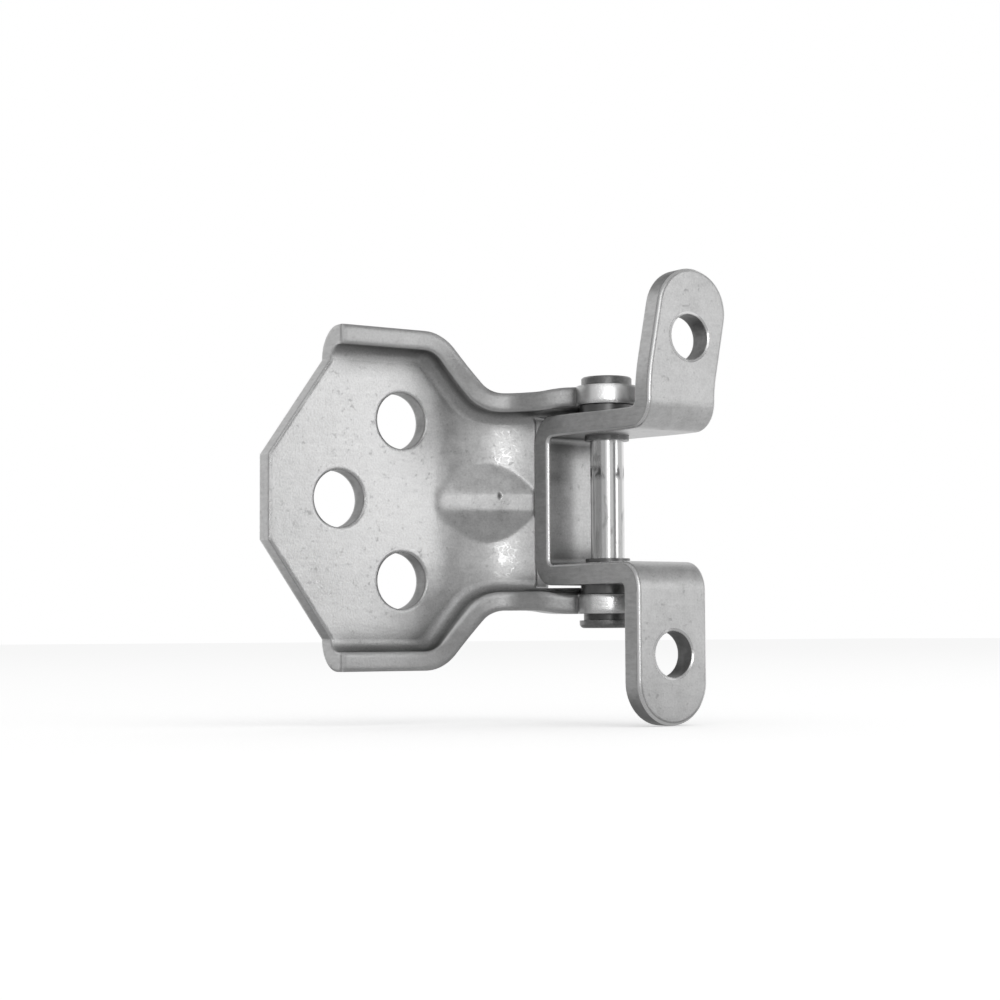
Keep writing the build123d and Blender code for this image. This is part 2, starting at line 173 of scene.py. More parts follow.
class ShaderNet:
    """A node tree that is written as expressions."""

    def __init__(self, tree: bpy.types.NodeTree) -> None:
        """Takes over a tree and empties it."""
        tree.nodes.clear()
        self.tree = tree

    @staticmethod
    def socket(sockets: bpy.types.bpy_prop_collection, key: Key) -> bpy.types.NodeSocket:
        """Finds a socket.

        Args:
            sockets: a node's inputs or outputs.
            key: the socket's place, its identifier or its name.

        Returns:
            The socket.
        """
        if isinstance(key, int):
            return sockets[key]
        for candidate in sockets:
            if candidate.identifier == key:
                return candidate
        return sockets[key]

    def node(
        self,
        kind: str,
        settings: Optional[Mapping[str, object]] = None,
        sockets: Optional[Mapping[Key, Link]] = None,
        output: Key = 0,
    ) -> Signal:
        """Adds one node.

        Args:
            kind: Blender's node type.
            settings: the node's own properties, which are set first.
            sockets: a value or a link for each input.
            output: the output that is returned.

        Returns:
            That output, which is empty for a node that ends the tree.
        """
        made = self.tree.nodes.new(kind)
        for name, value in (settings or {}).items():
            setattr(made, name, value)
        for key, value in (sockets or {}).items():
            target = self.socket(made.inputs, key)
            if isinstance(value, Signal):
                self.tree.links.new(value.socket, target)
            else:
                target.default_value = value
        return Signal(self, self.socket(made.outputs, output) if made.outputs else None)

    def place(self) -> Signal:
        """Returns the point on the piece, in metres, which moves with it."""
        return self.node("ShaderNodeTexCoord", output="Object")

    def facing(self) -> Signal:
        """Returns the direction that the piece's surface faces, in its own frame."""
        return self.node("ShaderNodeTexCoord", output="Normal")

    def parts(self, vector: Signal) -> Tuple[Signal, Signal, Signal]:
        """Returns a vector's three numbers."""
        x = self.node("ShaderNodeSeparateXYZ", {}, {"Vector": vector}, "X")
        return x, x.also("Y"), x.also("Z")

    def stretched(self, vector: Signal, factors: Point) -> Signal:
        """Returns a vector with each number multiplied."""
        return self.node("ShaderNodeVectorMath", {"operation": "MULTIPLY"}, {0: vector, 1: factors})

    def away_from(self, vector: Signal, point: Point) -> Signal:
        """Returns the distance from a point."""
        return self.node("ShaderNodeVectorMath", {"operation": "DISTANCE"}, {0: vector, 1: point}, "Value")

    def noise(self, vector: Signal, pitch: float, detail: float = 2.0, warp: float = 0.0) -> Signal:
        """Adds soft random variation.

        Args:
            vector: where the variation is read.
            pitch: the size of its largest features, in metres.
            detail: how many finer layers it has.
            warp: how much it is drawn out of shape.

        Returns:
            Values around 0.5.
        """
        sockets = {"Vector": vector, "Scale": 1 / pitch, "Detail": detail, "Distortion": warp}
        return self.node("ShaderNodeTexNoise", {"noise_dimensions": "3D"}, sockets, "Fac")

    def mixed(self, factor: Link, low: Link, high: Link) -> Signal:
        """Returns a colour between two colours."""
        sockets = {"Factor_Float": factor, "A_Color": low, "B_Color": high}
        return self.node("ShaderNodeMix", {"data_type": "RGBA"}, sockets, "Result_Color")

    def turned(self, factor: Signal, first: Signal, second: Link) -> Signal:
        """Returns a direction between two directions."""
        sockets = {"Factor_Float": factor, "A_Vector": first, "B_Vector": second}
        return self.node("ShaderNodeMix", {"data_type": "VECTOR"}, sockets, "Result_Vector")

    def rounded(self, radius: float) -> Signal:
        """Returns the surface's direction with its sharp edges rounded over."""
        return self.node("ShaderNodeBevel", {"samples": CORNER_SAMPLES}, {"Radius": radius}, "Normal")

    def recess(self, reach: float) -> Signal:
        """Finds the piece's own inner corners.

        Args:
            reach: how far out of a corner the mask goes.

        Returns:
            A mask of the corners.
        """
        settings = {"samples": CORNER_SAMPLES, "only_local": True}
        free = self.node("ShaderNodeAmbientOcclusion", settings, {"Distance": reach}, "AO")
        return free.below(*CORNER_OPENNESS)

    def edges(self, radius: float) -> Signal:
        """Finds the sharp edges.

        Args:
            radius: how far the mask goes on each side of an edge.

        Returns:
            A mask of the edges.
        """
        plain = self.node("ShaderNodeNewGeometry", output="Normal")
        sockets = {0: self.rounded(radius), 1: plain}
        same = self.node("ShaderNodeVectorMath", {"operation": "DOT_PRODUCT"}, sockets, "Value")
        return (1 - same).above(*EDGE_TURN)

    def seen(self) -> Signal:
        """Returns a mask of the camera's rays and of those that mirrors and glass send on."""
        camera = self.node("ShaderNodeLightPath", output="Is Camera Ray")
        return camera | camera.also("Is Glossy Ray") | camera.also("Is Transmission Ray")

    def bump(self, height: Signal, depth: float, normal: Signal) -> Signal:
        """Raises the surface.

        Args:
            height: the height, of about 0 to 1.
            depth: what a height of 1 measures, in metres.
            normal: the direction the surface starts from.

        Returns:
            The raised surface's direction.
        """
        sockets = {"Height": height, "Distance": depth, "Strength": 1.0, "Normal": normal}
        return self.node("ShaderNodeBump", {}, sockets)

    def metal(self, colour: Signal, roughness: Signal, normal: Signal) -> None:
        """Ends the tree in a bare metal surface.

        Args:
            colour: its colour.
            roughness: how far it scatters light.
            normal: the direction that it faces.
        """
        sockets = {"Base Color": colour, "Roughness": roughness, "Normal": normal, "Metallic": 1.0}
        shader = self.node("ShaderNodeBsdfPrincipled", {}, sockets)
        self.node("ShaderNodeOutputMaterial", {}, {"Surface": shader})


def new_material(name: str) -> Tuple[bpy.types.Material, ShaderNet]:
    """Makes an empty material.

    Args:
        name: the material's name.

    Returns:
        The material and its tree.
    """
    material = bpy.data.materials.new(name)
    material.use_nodes = True
    return material, ShaderNet(material.node_tree)


class CutFaces(Enum):
    """Which faces of a pressing the blanking tool sheared."""

    PLATE = "ends, holes and flange rims of the pillar plate"
    STRIP = "sides, ends and holes of the door strip"


@dataclass(frozen=True)
class BoltHole:
    """One punched hole of a leaf.

    Attributes:
        x: its middle along the plate.
        z: its middle's height.
        radius: its radius.
    """

    x: float
    z: float
    radius: float

    def gap(self, net: ShaderNet, place: Signal) -> Signal:
        """Returns how far a point is outside the hole's wall."""
        return net.away_from(net.stretched(place, (1.0, 0.0, 1.0)), (self.x, 0.0, self.z)) - self.radius


PILLAR_HOLES = (
    BoltHole(-8.5 * MM, 0.0, 6.75 * MM),
    BoltHole(8.5 * MM, 19.0 * MM, 6.75 * MM),
    BoltHole(8.5 * MM, -19.0 * MM, 6.75 * MM),
)
TAB_HOLES = (BoltHole(55.1 * MM, 36.5 * MM, 5.25 * MM), BoltHole(49.5 * MM, -36.5 * MM, 5.25 * MM))
TAB_START = 21.7 * MM
TAB_FADE = 0.3 * MM
WORN_EDGE = 0.4 * MM


@dataclass(frozen=True)
class PressMarks:
    """Marks that the press left on the pillar plate's bow.

    Attributes:
        bow_start: where the scuffs start along the plate.
        bow_end: where they end.
        inner: the height where they start, above and below the dart.
        outer: the height where they end.
        fade: over how far they start and end.
        scuff_pitch: the size of their windings.
        scuff_line: how far from its middle a scratch is full and has gone, as shares of a winding.
        break_pitch: the size of the gaps in them.
        break_span: where the gaps start and end in the random variation.
        scratch_sheen_level: grey of the scratches, painted bright as their highlight.
        dent_middle: the middle of the small dent in the dart's crest.
        dent_radius: the dent's radius along the plate.
        dent_squeeze: how the dent is drawn out, as factors on its place.
        dent_shade_level: grey of the dent, painted dark as its shade.
        roll: radius with which the dart rolls out into the plate.
        roll_start: where along the plate that roll comes in.
        roll_end: from where to where it goes over to a crisp edge.
        roll_half: the height where it ends, above and below the middle.
        rim: radius to which the die drew the flange rims.
    """

    bow_start: float = 31.5 * MM
    bow_end: float = 38.5 * MM
    inner: float = 8.2 * MM
    outer: float = 18.5 * MM
    fade: float = 2.0 * MM
    scuff_pitch: float = 2.6 * MM
    scuff_line: Span = (0.015, 0.07)
    break_pitch: float = 2.0 * MM
    break_span: Span = (0.44, 0.58)
    scratch_sheen_level: float = 0.98
    dent_middle: Point = (32.5 * MM, -9.4 * MM, 1.6 * MM)
    dent_radius: float = 0.75 * MM
    dent_squeeze: Point = (1.0, 0.25, 0.55)
    dent_shade_level: float = 0.08
    roll: float = 3.0 * MM
    roll_start: Span = (13.0 * MM, 14.0 * MM)
    roll_end: Span = (22.0 * MM, 32.0 * MM)
    roll_half: Span = (12.0 * MM, 14.0 * MM)
    rim: float = 2.1 * MM

    def scuffs(self, net: ShaderNet, place: Signal) -> Signal:
        """Draws the fine scratches beside the dart, whose brightness is a painted highlight.

        Args:
            net: the tree to add to.
            place: the point on the piece.

        Returns:
            A mask of the scratches.
        """
        x, _, z = net.parts(place)
        _, out, _ = net.parts(net.facing())
        fade = self.fade
        along = x.above(self.bow_start, self.bow_start + fade) * x.below(self.bow_end - fade, self.bow_end)
        across = abs(z).above(self.inner, self.inner + fade) * abs(z).below(self.outer - fade, self.outer)
        wander = net.noise(net.stretched(place, (0.8, 0.8, 1.3)), self.scuff_pitch, 1.0, 1.6)
        line = abs(wander - 0.5).below(*self.scuff_line)
        broken = net.noise(place, self.break_pitch, 1.0).above(*self.break_span)
        return along * across * line * broken * out.below(*FRONT)

    def rolled(self, net: ShaderNet, place: Signal) -> Signal:
        """Marks the end of the dart that rolls out into the plate.

        Args:
            net: the tree to add to.
            place: the point on the piece.

        Returns:
            A mask of that end.
        """
        x, _, z = net.parts(place)
        return x.above(*self.roll_start) * x.below(*self.roll_end) * abs(z).below(*self.roll_half)

    def dent(self, net: ShaderNet, place: Signal) -> Signal:
        """Marks the small slit-like dent in the dart's crest.

        Args:
            net: the tree to add to.
            place: the point on the piece.

        Returns:
            A mask of the dent.
        """
        middle = tuple(part * factor for part, factor in zip(self.dent_middle, self.dent_squeeze))
        gap = net.away_from(net.stretched(place, self.dent_squeeze), middle)
        return gap.below(0.4 * self.dent_radius, self.dent_radius)


@dataclass(frozen=True)
class ZincPlating:
    """Satin zinc plating over pressed steel.

    Attributes:
        bright: grey of the clean plating.
        dull: grey of its duller clouds.
        cut: grey of the sheared faces.
        painted_shade: grey of the painted shade in inner corners, hole walls and gaps.
        roughness: how far the plating scatters light.
        edge_round: radius that tumbling and plating give to sharp edges.
        wear_and_sheen_grey: how bright the worn, rubbed places and the painted highlights are.
        rub_scatter: how much more they scatter light.
        rub_flat: how far they are worn flat, from 0 to 1.
        rub_facing: the direction that a wholly flat one would face.
        cut_faces: which faces are sheared.
        holes: its punched holes.
        bore_shade: how much painted shade goes on the walls of its holes and the other shaded places, from 0
            to 1.
        lip: how wide the broken front edge of a hole is.
        lip_depth: how deep it goes, as a multiple of relief.
        shade_reach: how far out of inner corners the painted shade reaches.
        cloud_pitch: the size of its clouds.
        patch_pitch: the size of the patches in them.
        grain_pitch: the size of its crystals.
        speck_pitch: the distance of its dull specks.
        drawn_pitch: the distance of the marks that drawing left, which run along the sheet.
        torn_pitch: the size of the tears in sheared faces.
        relief: how deep its unevenness is.
        marks: what the press left on it.
    """

    bright: float = 0.80
    dull: float = 0.50
    cut: float = 0.52
    painted_shade: float = 0.12
    roughness: float = 0.32
    edge_round: float = 0.5 * MM
    wear_and_sheen_grey: float = 0.95
    rub_scatter: float = 0.06
    rub_flat: float = 0.0
    rub_facing: Point = (-0.56, -0.83, 0.0)
    cut_faces: CutFaces = CutFaces.STRIP
    holes: Tuple[BoltHole, ...] = TAB_HOLES
    bore_shade: float = 0.55
    lip: float = 0.7 * MM
    lip_depth: float = 8.5
    shade_reach: float = 8.0 * MM
    cloud_pitch: float = 9.0 * MM
    patch_pitch: float = 3.2 * MM
    grain_pitch: float = 0.5 * MM
    speck_pitch: float = 1.3 * MM
    drawn_pitch: float = 0.8 * MM
    torn_pitch: float = 0.7 * MM
    relief: float = 0.055 * MM
    marks: Optional[PressMarks] = None

    def sheared(self, net: ShaderNet, place: Signal) -> Signal:
        """Finds the sheared faces by where they are and how they face.

        Args:
            net: the tree to add to.
            place: the point on the piece.

        Returns:
            A mask of the sheared faces.
        """
        x, _, z = net.parts(place)
        across, out, _ = net.parts(net.facing())
        if self.cut_faces is CutFaces.STRIP:
            sides = abs(across).above(*STRIP_SIDE)
            tabs = abs(out).below(*EDGE_ON) * abs(z).above(TAB_START - TAB_FADE, TAB_START + TAB_FADE)
            return sides | tabs
        holes = abs(out).below(*HOLE_WALL) * abs(z).below(*PLATE_HALF) * x.below(*HOLE_COLUMNS)
        ends = across.below(*LEFT_END) * x.below(*LEFT_PART)
        notch = across.above(*NOTCH_WALL) * x.above(*BOW_PART) * abs(z).below(*NOTCH_HALF)
        return 0.7 * self.rims(net, place) | holes | ends | notch

    def rims(self, net: ShaderNet, place: Signal) -> Signal:
        """Finds the front rims of the plate's flanges and ears.

        Args:
            net: the tree to add to.
            place: the point on the piece.

        Returns:
            A mask of the rims.
        """
        _, y, z = net.parts(place)
        _, _, up = net.parts(net.facing())
        return abs(up).below(*FLANGE_RIM) * abs(z).above(*RIM_HALF) * y.below(*RIM_FRONT)

    def wear_and_sheen(self, net: ShaderNet, place: Signal) -> Signal:
        """Finds the places painted bright: the strip's front rims and tab ends, as wear and a painted
        highlight, or the near sides of the eyes, as a painted highlight.

        Args:
            net: the tree to add to.
            place: the point on the piece.

        Returns:
            A mask of those places.
        """
        _, y, z = net.parts(place)
        across, out, up = net.parts(net.facing())
        if self.cut_faces is CutFaces.STRIP:
            tabs = abs(z).above(TAB_START + TAB_FADE, TAB_START + 3 * TAB_FADE)
            walls = tabs * abs(out).below(*EDGE_ON)
            sides = abs(across).above(*EDGE_ON) * abs(across).below(*RIM_ROUND) * (1 - walls)
            ahead = 0 - out
            round_end = ahead.below(*RIM_ROUND) * ahead.above(*EDGE_ON) * tabs
            return sides | round_end
        towards = 0 - 0.6 * across - 0.8 * out
        eyes = y.below(*EYE_FRONT) * abs(up).below(*EDGE_ON)
        return eyes * towards.above(*EYE_NEAR_SIDE)

    def shaded_places(self, net: ShaderNet, place: Signal) -> Signal:
        """Finds where shade is painted: holes' walls, the tabs' round ends, the ears' insides, the eyes' far
        sides.

        Args:
            net: the tree to add to.
            place: the point on the piece.

        Returns:
            A mask of those places.
        """
        x, y, z = net.parts(place)
        across, out, up = net.parts(net.facing())
        walls = 0.0
        for hole in self.holes:
            walls = hole.gap(net, place).below(*WALL_GAP) | walls
        walls = walls * abs(out).below(*EDGE_ON)
        if self.cut_faces is CutFaces.STRIP:
            tabs = abs(z).above(TAB_START, TAB_START + 1 * MM)
            return walls | 0.8 * (abs(up).above(*TAB_CROWN) * abs(out).below(*EDGE_ON) * tabs)
        eyes = x.above(*EYE_PART) * abs(up).below(*EDGE_ON) * across.above(*EYE_FAR_SIDE)
        ears = abs(up).above(*EAR_INSIDE) * y.below(*EAR_FRONT) * abs(z).below(*EAR_HALF)
        return walls | 1.5 * (eyes | ears)

    def lips(self, net: ShaderNet, place: Signal) -> Signal:
        """Draws the broken front edges of the holes.

        Args:
            net: the tree to add to.
            place: the point on the piece.

        Returns:
            0 on the leaf's face, and a rise to 1 at the hole's wall.
        """
        _, out, _ = net.parts(net.facing())
        rise = 0.0
        for hole in self.holes:
            rise = (1 - hole.gap(net, place) * (1 / self.lip)).clamped() | rise
        return rise * out.below(*FULL_FRONT)

    def material(self, name: str) -> bpy.types.Material:
        """Makes the plating.

        Args:
            name: the material's name.

        Returns:
            The material.
        """
        material, net = new_material(name)
        place = net.place()
        cut = self.sheared(net, place)
        wear_and_sheen = self.wear_and_sheen(net, place)
        edge = net.edges(self.edge_round)
        # Places that get painted shade: the piece's own inner corners, found by ambient occlusion, and the
        # hole walls, tab ends, ears' insides and eyes' far sides.
        corner = net.recess(self.shade_reach) | self.bore_shade * self.shaded_places(net, place)
        cloud = net.noise(place, self.cloud_pitch, 3.0, 0.6)
        patch = net.noise(place, self.patch_pitch, 4.0, 0.3)
        grain = net.noise(place, self.grain_pitch, 2.0)
        speck = net.noise(place, self.speck_pitch, 3.0).above(0.63, 0.72)
        drawn = net.noise(net.stretched(place, (0.12, 0.12, 1.0)), self.drawn_pitch, 3.0)
        torn = net.noise(net.stretched(place, (1.0, 0.3, 1.0)), self.torn_pitch, 3.0)
        tone = 0.5 + 1.0 * (cloud - 0.5) + 1.1 * (patch - 0.5) + 0.9 * (grain - 0.5) + 0.35 * (drawn - 0.5)
        tone = (tone - 0.35 * speck).clamped()
        colour = net.mixed(tone, grey(self.dull), grey(self.bright))
        worn = net.mixed((0.25 + 0.9 * (torn - 0.3)).clamped(), grey(0.6 * self.cut), grey(1.25 * self.cut))
        colour = net.mixed(0.75 * cut, colour, worn)
        # Painted shade: the shaded places are mixed towards a dark grey.
        painted_shade_amount = (corner * (0.95 + 0.8 * (patch - 0.5))).clamped()
        colour = net.mixed(painted_shade_amount, colour, grey(self.painted_shade))
        # Painted highlight and wear: sharp edges, the strip's rims and the eyes' near sides are mixed
        # towards a bright grey.
        colour = net.mixed((0.4 * edge | wear_and_sheen).clamped(), colour, grey(self.wear_and_sheen_grey))
        roughness = self.roughness + 0.16 * (patch - 0.5) + 0.12 * (cloud - 0.5) + 0.1 * cut + 0.08 * speck
        roughness = roughness + 0.12 * corner - 0.05 * edge + self.rub_scatter * wear_and_sheen
        height = 0.4 * grain + 0.5 * patch + 0.22 * drawn + 0.9 * cut * (1 - wear_and_sheen) * torn
        smooth = net.rounded(self.edge_round)
        if self.cut_faces is CutFaces.STRIP:
            lip = self.lips(net, place)
            # Painted highlight: the broken front edges of the holes are mixed towards the bright grey, as
            # well as bumped.
            broken = lip.above(0.0, 0.1)
            colour = net.mixed(broken, colour, grey(self.wear_and_sheen_grey))
            roughness = roughness - 0.14 * broken
            height = height - self.lip_depth * lip
        if self.marks is not None:
            scuff = self.marks.scuffs(net, place)
            dent = self.marks.dent(net, place)
            # Painted highlight: the scratches are mixed towards a near white.
            colour = net.mixed(0.9 * scuff, colour, grey(self.marks.scratch_sheen_level))
            # Painted shade: the dent is mixed towards a near black, as well as bumped.
            colour = net.mixed(0.9 * dent, colour, grey(self.marks.dent_shade_level))
            height = height + 0.15 * scuff - 1.5 * dent
            smooth = net.turned(self.marks.rolled(net, place), smooth, net.rounded(self.marks.roll))
            smooth = net.turned(self.rims(net, place), smooth, net.rounded(self.marks.rim))
            smooth = net.turned(self.rub_flat * wear_and_sheen, smooth, self.rub_facing)
        net.metal(colour, roughness.clamped(0.12, 0.7), net.bump(height, self.relief, smooth))
        return material


@dataclass(frozen=True)
class PolishedSteel:
    """Ground and polished pin steel, dull where its ends were formed.

    Attributes:
        bright: grey of the polished shank.
        formed: grey of the head and the tail.
        grease: grey of the smears that the door leaf's bushes left.
        worn: grey of its worn edges.
        roughness: how far the shank scatters light.
        ends: the height at which head and tail start.
        smear: the height of the largest smear.
        smear_span: how far from it that smear is full and has gone.
        ground_pitch: the distance of the grinding marks.
        film_pitch: the size of the grease film's patches.
        pit_pitch: the size of the pits in head and tail.
        edge_round: radius of its broken edges.
        relief: how deep its unevenness is.
    """

    bright: float = 0.76
    formed: float = 0.26
    grease: float = 0.16
    worn: float = 0.85
    roughness: float = 0.17
    ends: float = 26.95 * MM
    smear: float = 6.4 * MM
    smear_span: Span = (0.4 * MM, 2.2 * MM)
    ground_pitch: float = 0.16 * MM
    film_pitch: float = 2.4 * MM
    pit_pitch: float = 0.6 * MM
    edge_round: float = 0.3 * MM
    relief: float = 0.05 * MM

    def material(self, name: str) -> bpy.types.Material:
        """Makes the steel.

        Args:
            name: the material's name.

        Returns:
            The material.
        """
        material, net = new_material(name)
        place = net.place()
        _, _, z = net.parts(place)
        end = abs(z).above(self.ends - 0.1 * MM, self.ends)
        ground = net.noise(net.stretched(place, (0.05, 0.05, 1.0)), self.ground_pitch, 2.0)
        film = net.noise(net.stretched(place, (1.0, 1.0, 0.35)), self.film_pitch, 4.0, 0.8)
        pits = net.noise(place, self.pit_pitch, 3.0)
        near = abs(z - self.smear).below(*self.smear_span)
        smear = (film.above(0.55, 0.68) * 0.35 | near * film.above(0.40, 0.54)) * (1 - end)
        edge = net.edges(WORN_EDGE)
        streaked = (0.5 + 0.8 * (ground - 0.5)).clamped()
        shank = net.mixed(streaked, grey(0.92 * self.bright), grey(self.bright))
        pitted = (0.5 + 1.6 * (pits - 0.5)).clamped()
        dull = net.mixed(pitted, grey(0.72 * self.formed), grey(1.2 * self.formed))
        colour = net.mixed(end, shank, dull)
        colour = net.mixed(smear, colour, grey(self.grease))
        colour = net.mixed(0.4 * edge, colour, grey(self.worn))
        roughness = self.roughness + 0.1 * (film - 0.5) + 0.22 * smear + 0.2 * end
        height = 0.25 * ground * (1 - end) + end * pits
        normal = net.bump(height, self.relief, net.rounded(self.edge_round))
        net.metal(colour, roughness.clamped(0.1, 0.7), normal)
        return material


@dataclass(frozen=True)
class DarkSteel:
    """Blackened, oily steel of the bushes and the tail washer.

    Attributes:
        body: grey of the dark surface.
        wear_and_sheen: grey where its edges are rubbed bright.
        roughness: how far it scatters light.
        turned_pitch: the distance of its turning marks.
        oil_pitch: the size of its oil patches.
        edge_round: radius of its broken edges.
        relief: how deep its turning marks are.
    """

    body: float = 0.2
    wear_and_sheen: float = 0.5
    roughness: float = 0.32
    turned_pitch: float = 0.2 * MM
    oil_pitch: float = 1.6 * MM
    edge_round: float = 0.25 * MM
    relief: float = 0.03 * MM

    def material(self, name: str) -> bpy.types.Material:
        """Makes the dark steel.

        Args:
            name: the material's name.

        Returns:
            The material.
        """
        material, net = new_material(name)
        place = net.place()
        turned = net.noise(net.stretched(place, (0.08, 0.08, 1.0)), self.turned_pitch, 2.0)
        oil = net.noise(place, self.oil_pitch, 3.0, 0.5)
        edge = net.edges(WORN_EDGE)
        tone = (0.45 + 0.7 * (oil - 0.5) + 0.5 * (turned - 0.5)).clamped()
        colour = net.mixed(tone, grey(0.7 * self.body), grey(1.35 * self.body))
        colour = net.mixed(edge * oil.above(0.4, 0.6), colour, grey(self.wear_and_sheen))
        roughness = self.roughness + 0.25 * (oil - 0.5)
        normal = net.bump(turned, self.relief, net.rounded(self.edge_round))
        net.metal(colour, roughness.clamped(0.15, 0.7), normal)
        return material


@dataclass(frozen=True)
class FloorPaper:
    """Matt white studio paper.

    Attributes:
        level: its grey.
        glow: what is added for the eye so that lit paper comes out white.
        fibre_pitch: the size of its fibres.
    """

    level: float = 0.85
    glow: float = 0.42
    fibre_pitch: float = 1.5 * MM

    def material(self, name: str) -> bpy.types.Material:
        """Makes the paper.

        Args:
            name: the material's name.

        Returns:
            The material.
        """
        material, net = new_material(name)
        fibre = net.noise(net.place(), self.fibre_pitch, 2.0)
        colour = net.mixed(fibre, grey(0.99 * self.level), grey(self.level))
        white = net.mixed(net.seen(), grey(0.0), grey(self.glow))
        sockets = {"Base Color": colour, "Roughness": 0.95, "Specular IOR Level": 0.0}
        sockets.update({"Emission Color": white, "Emission Strength": 1.0})
        shader = net.node("ShaderNodeBsdfPrincipled", {}, sockets)
        net.node("ShaderNodeOutputMaterial", {}, {"Surface": shader})
        return material


@dataclass(frozen=True)
class LitCard:
    """Grey card that is evenly lit, as a mirror finish shows it.

    Attributes:
        level: how bright it looks, where 1 is white.
    """

    level: float

    def material(self, name: str) -> bpy.types.Material:
        """Makes the card.

        Args:
            name: the material's name.

        Returns:
            The material.
        """
        material, net = new_material(name)
        sockets = {"Base Color": grey(0.0), "Roughness": 1.0, "Specular IOR Level": 0.0}
        sockets.update({"Emission Color": grey(self.level), "Emission Strength": 1.0})
        shader = net.node("ShaderNodeBsdfPrincipled", {}, sockets)
        net.node("ShaderNodeOutputMaterial", {}, {"Surface": shader})
        return material


Finish = Union[ZincPlating, PolishedSteel, DarkSteel]


def dress(node: str, slot: str, finish: Finish) -> bpy.types.Object:
    """Gives a CAD piece its finish.

    Args:
        node: the piece's CAD node.
        slot: the name that its material gets.
        finish: what it is finished in.

    Returns:
        The piece.
    """
    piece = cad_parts[node]
    material = finish.material(slot)
    for place in piece.material_slots:
        place.link = "OBJECT"
        place.material = material
    return piece


@dataclass
class PillarLeaf:
    """The pressed leaf that is bolted to the pillar.

    Attributes:
        finish: its plating, with the marks of the press.
    """

    finish: ZincPlating = ZincPlating(
        edge_round=1.3 * MM,
        rub_scatter=-0.12,
        rub_flat=0.55,
        cut_faces=CutFaces.PLATE,
        holes=PILLAR_HOLES,
        marks=PressMarks(),
    )

    def build(self) -> List[bpy.types.Object]:
        """Dresses the leaf and returns it."""
        return [dress("pillar_leaf", "zinc_plated_sheet", self.finish)]


@dataclass
class DoorLeaf:
    """The folded strip that is bolted to the door, with its two bushes.

    Attributes:
        finish: its plating.
        bush_finish: the bushes' steel.
    """

    finish: ZincPlating = ZincPlating(
        bright=0.64,
        dull=0.41,
        cut=0.66,
        painted_shade=0.18,
        roughness=0.36,
        edge_round=0.4 * MM,
        rub_scatter=-0.17,
        bore_shade=0.85,
    )
    bush_finish: DarkSteel = DarkSteel()

    def build(self) -> List[bpy.types.Object]:
        """Dresses the strip and its bushes.

        Returns:
            The three pieces.
        """
        strip = dress("door_leaf", "zinc_plated_strip", self.finish)
        upper = dress("upper_bush", "dark_bush", self.bush_finish)
        lower = dress("lower_bush", "dark_bush", self.bush_finish)
        return [strip, upper, lower]


@dataclass
class PinSet:
    """The riveted pin and the washer under its tail.

    Attributes:
        finish: the pin's steel.
        washer_finish: the washer's steel.
    """

    finish: PolishedSteel = PolishedSteel()
    washer_finish: DarkSteel = DarkSteel(body=0.13)

    def build(self) -> List[bpy.types.Object]:
        """Dresses the pin and the washer.

        Returns:
            The two pieces.
        """
        pin = dress("hinge_pin", "polished_pin", self.finish)
        washer = dress("tail_washer", "dark_washer", self.washer_finish)
        return [pin, washer]


@dataclass(frozen=True)
class Station:
    """A place round the hinge, from its middle.

    Attributes:
        azimuth: degrees round from the plate's front, to the right.
        elevation: degrees up.
        distance: metres away.
    """

    azimuth: float
    elevation: float
    distance: float

    def matrix(self, middle: Vector, roll: float = 0.0) -> Matrix:
        """Stands something here that faces the hinge.

        Args:
            middle: what it faces.
            roll: degrees that it is turned clockwise, seen from the hinge.

        Returns:
            Its place, with its back to its own +Z and its right to its own +X.
        """
        turn, rise, lean = (math.radians(a) for a in (self.azimuth, self.elevation, roll))
        back = Vector((math.sin(turn) * math.cos(rise), -math.cos(turn) * math.cos(rise), math.sin(rise)))
        level = Vector((math.cos(turn), math.sin(turn), 0.0))
        upright = back.cross(level)
        right = math.cos(lean) * level - math.sin(lean) * upright
        above = math.sin(lean) * level + math.cos(lean) * upright
        columns = Matrix((right, above, back)).transposed().to_4x4()
        return Matrix.Translation(middle + back * self.distance) @ columns


@dataclass(frozen=True)
class SoftBox:
    """A lamp with a plain soft face.

    Attributes:
        name: what it is called.
        station: where it stands.
        width: metres across.
        height: metres up.
        brightness: how bright its face is, where 1 is white.
        mirrored: whether polished metal shows its face.
    """

    name: str
    station: Station
    width: float
    height: float
    brightness: float
    mirrored: bool

    def build(self, middle: Vector) -> bpy.types.Object:
        """Hangs the lamp.

        Args:
            middle: what it lights.

        Returns:
            The lamp.
        """
        light = bpy.data.lights.new(self.name, "AREA")
        light.shape = "RECTANGLE"
        light.size = self.width
        light.size_y = self.height
        light.energy = math.pi * self.width * self.height * self.brightness
        lamp = bpy.data.objects.new(self.name, light)
        lamp.matrix_world = self.station.matrix(middle)
        lamp.visible_camera = False
        lamp.visible_glossy = self.mirrored
        bpy.context.scene.collection.objects.link(lamp)
        return lamp


def mirrored_card(
    name: str, points: Sequence[Point], faces: Sequence[Tuple[int, ...]], level: float
) -> bpy.types.Object:
    """Makes a lit card that only polished surfaces show.

    Args:
        name: what it is called.
        points: its corners.
        faces: its faces, by corner.
        level: how bright it looks, where 1 is white.

    Returns:
        The card.
    """
    mesh = bpy.data.meshes.new(name)
    mesh.from_pydata(points, [], faces)
    mesh.materials.append(LitCard(level).material(name))
    card = bpy.data.objects.new(name, mesh)
    card.visible_camera = False
    card.visible_diffuse = False
    card.visible_shadow = False
    bpy.context.scene.collection.objects.link(card)
    return card


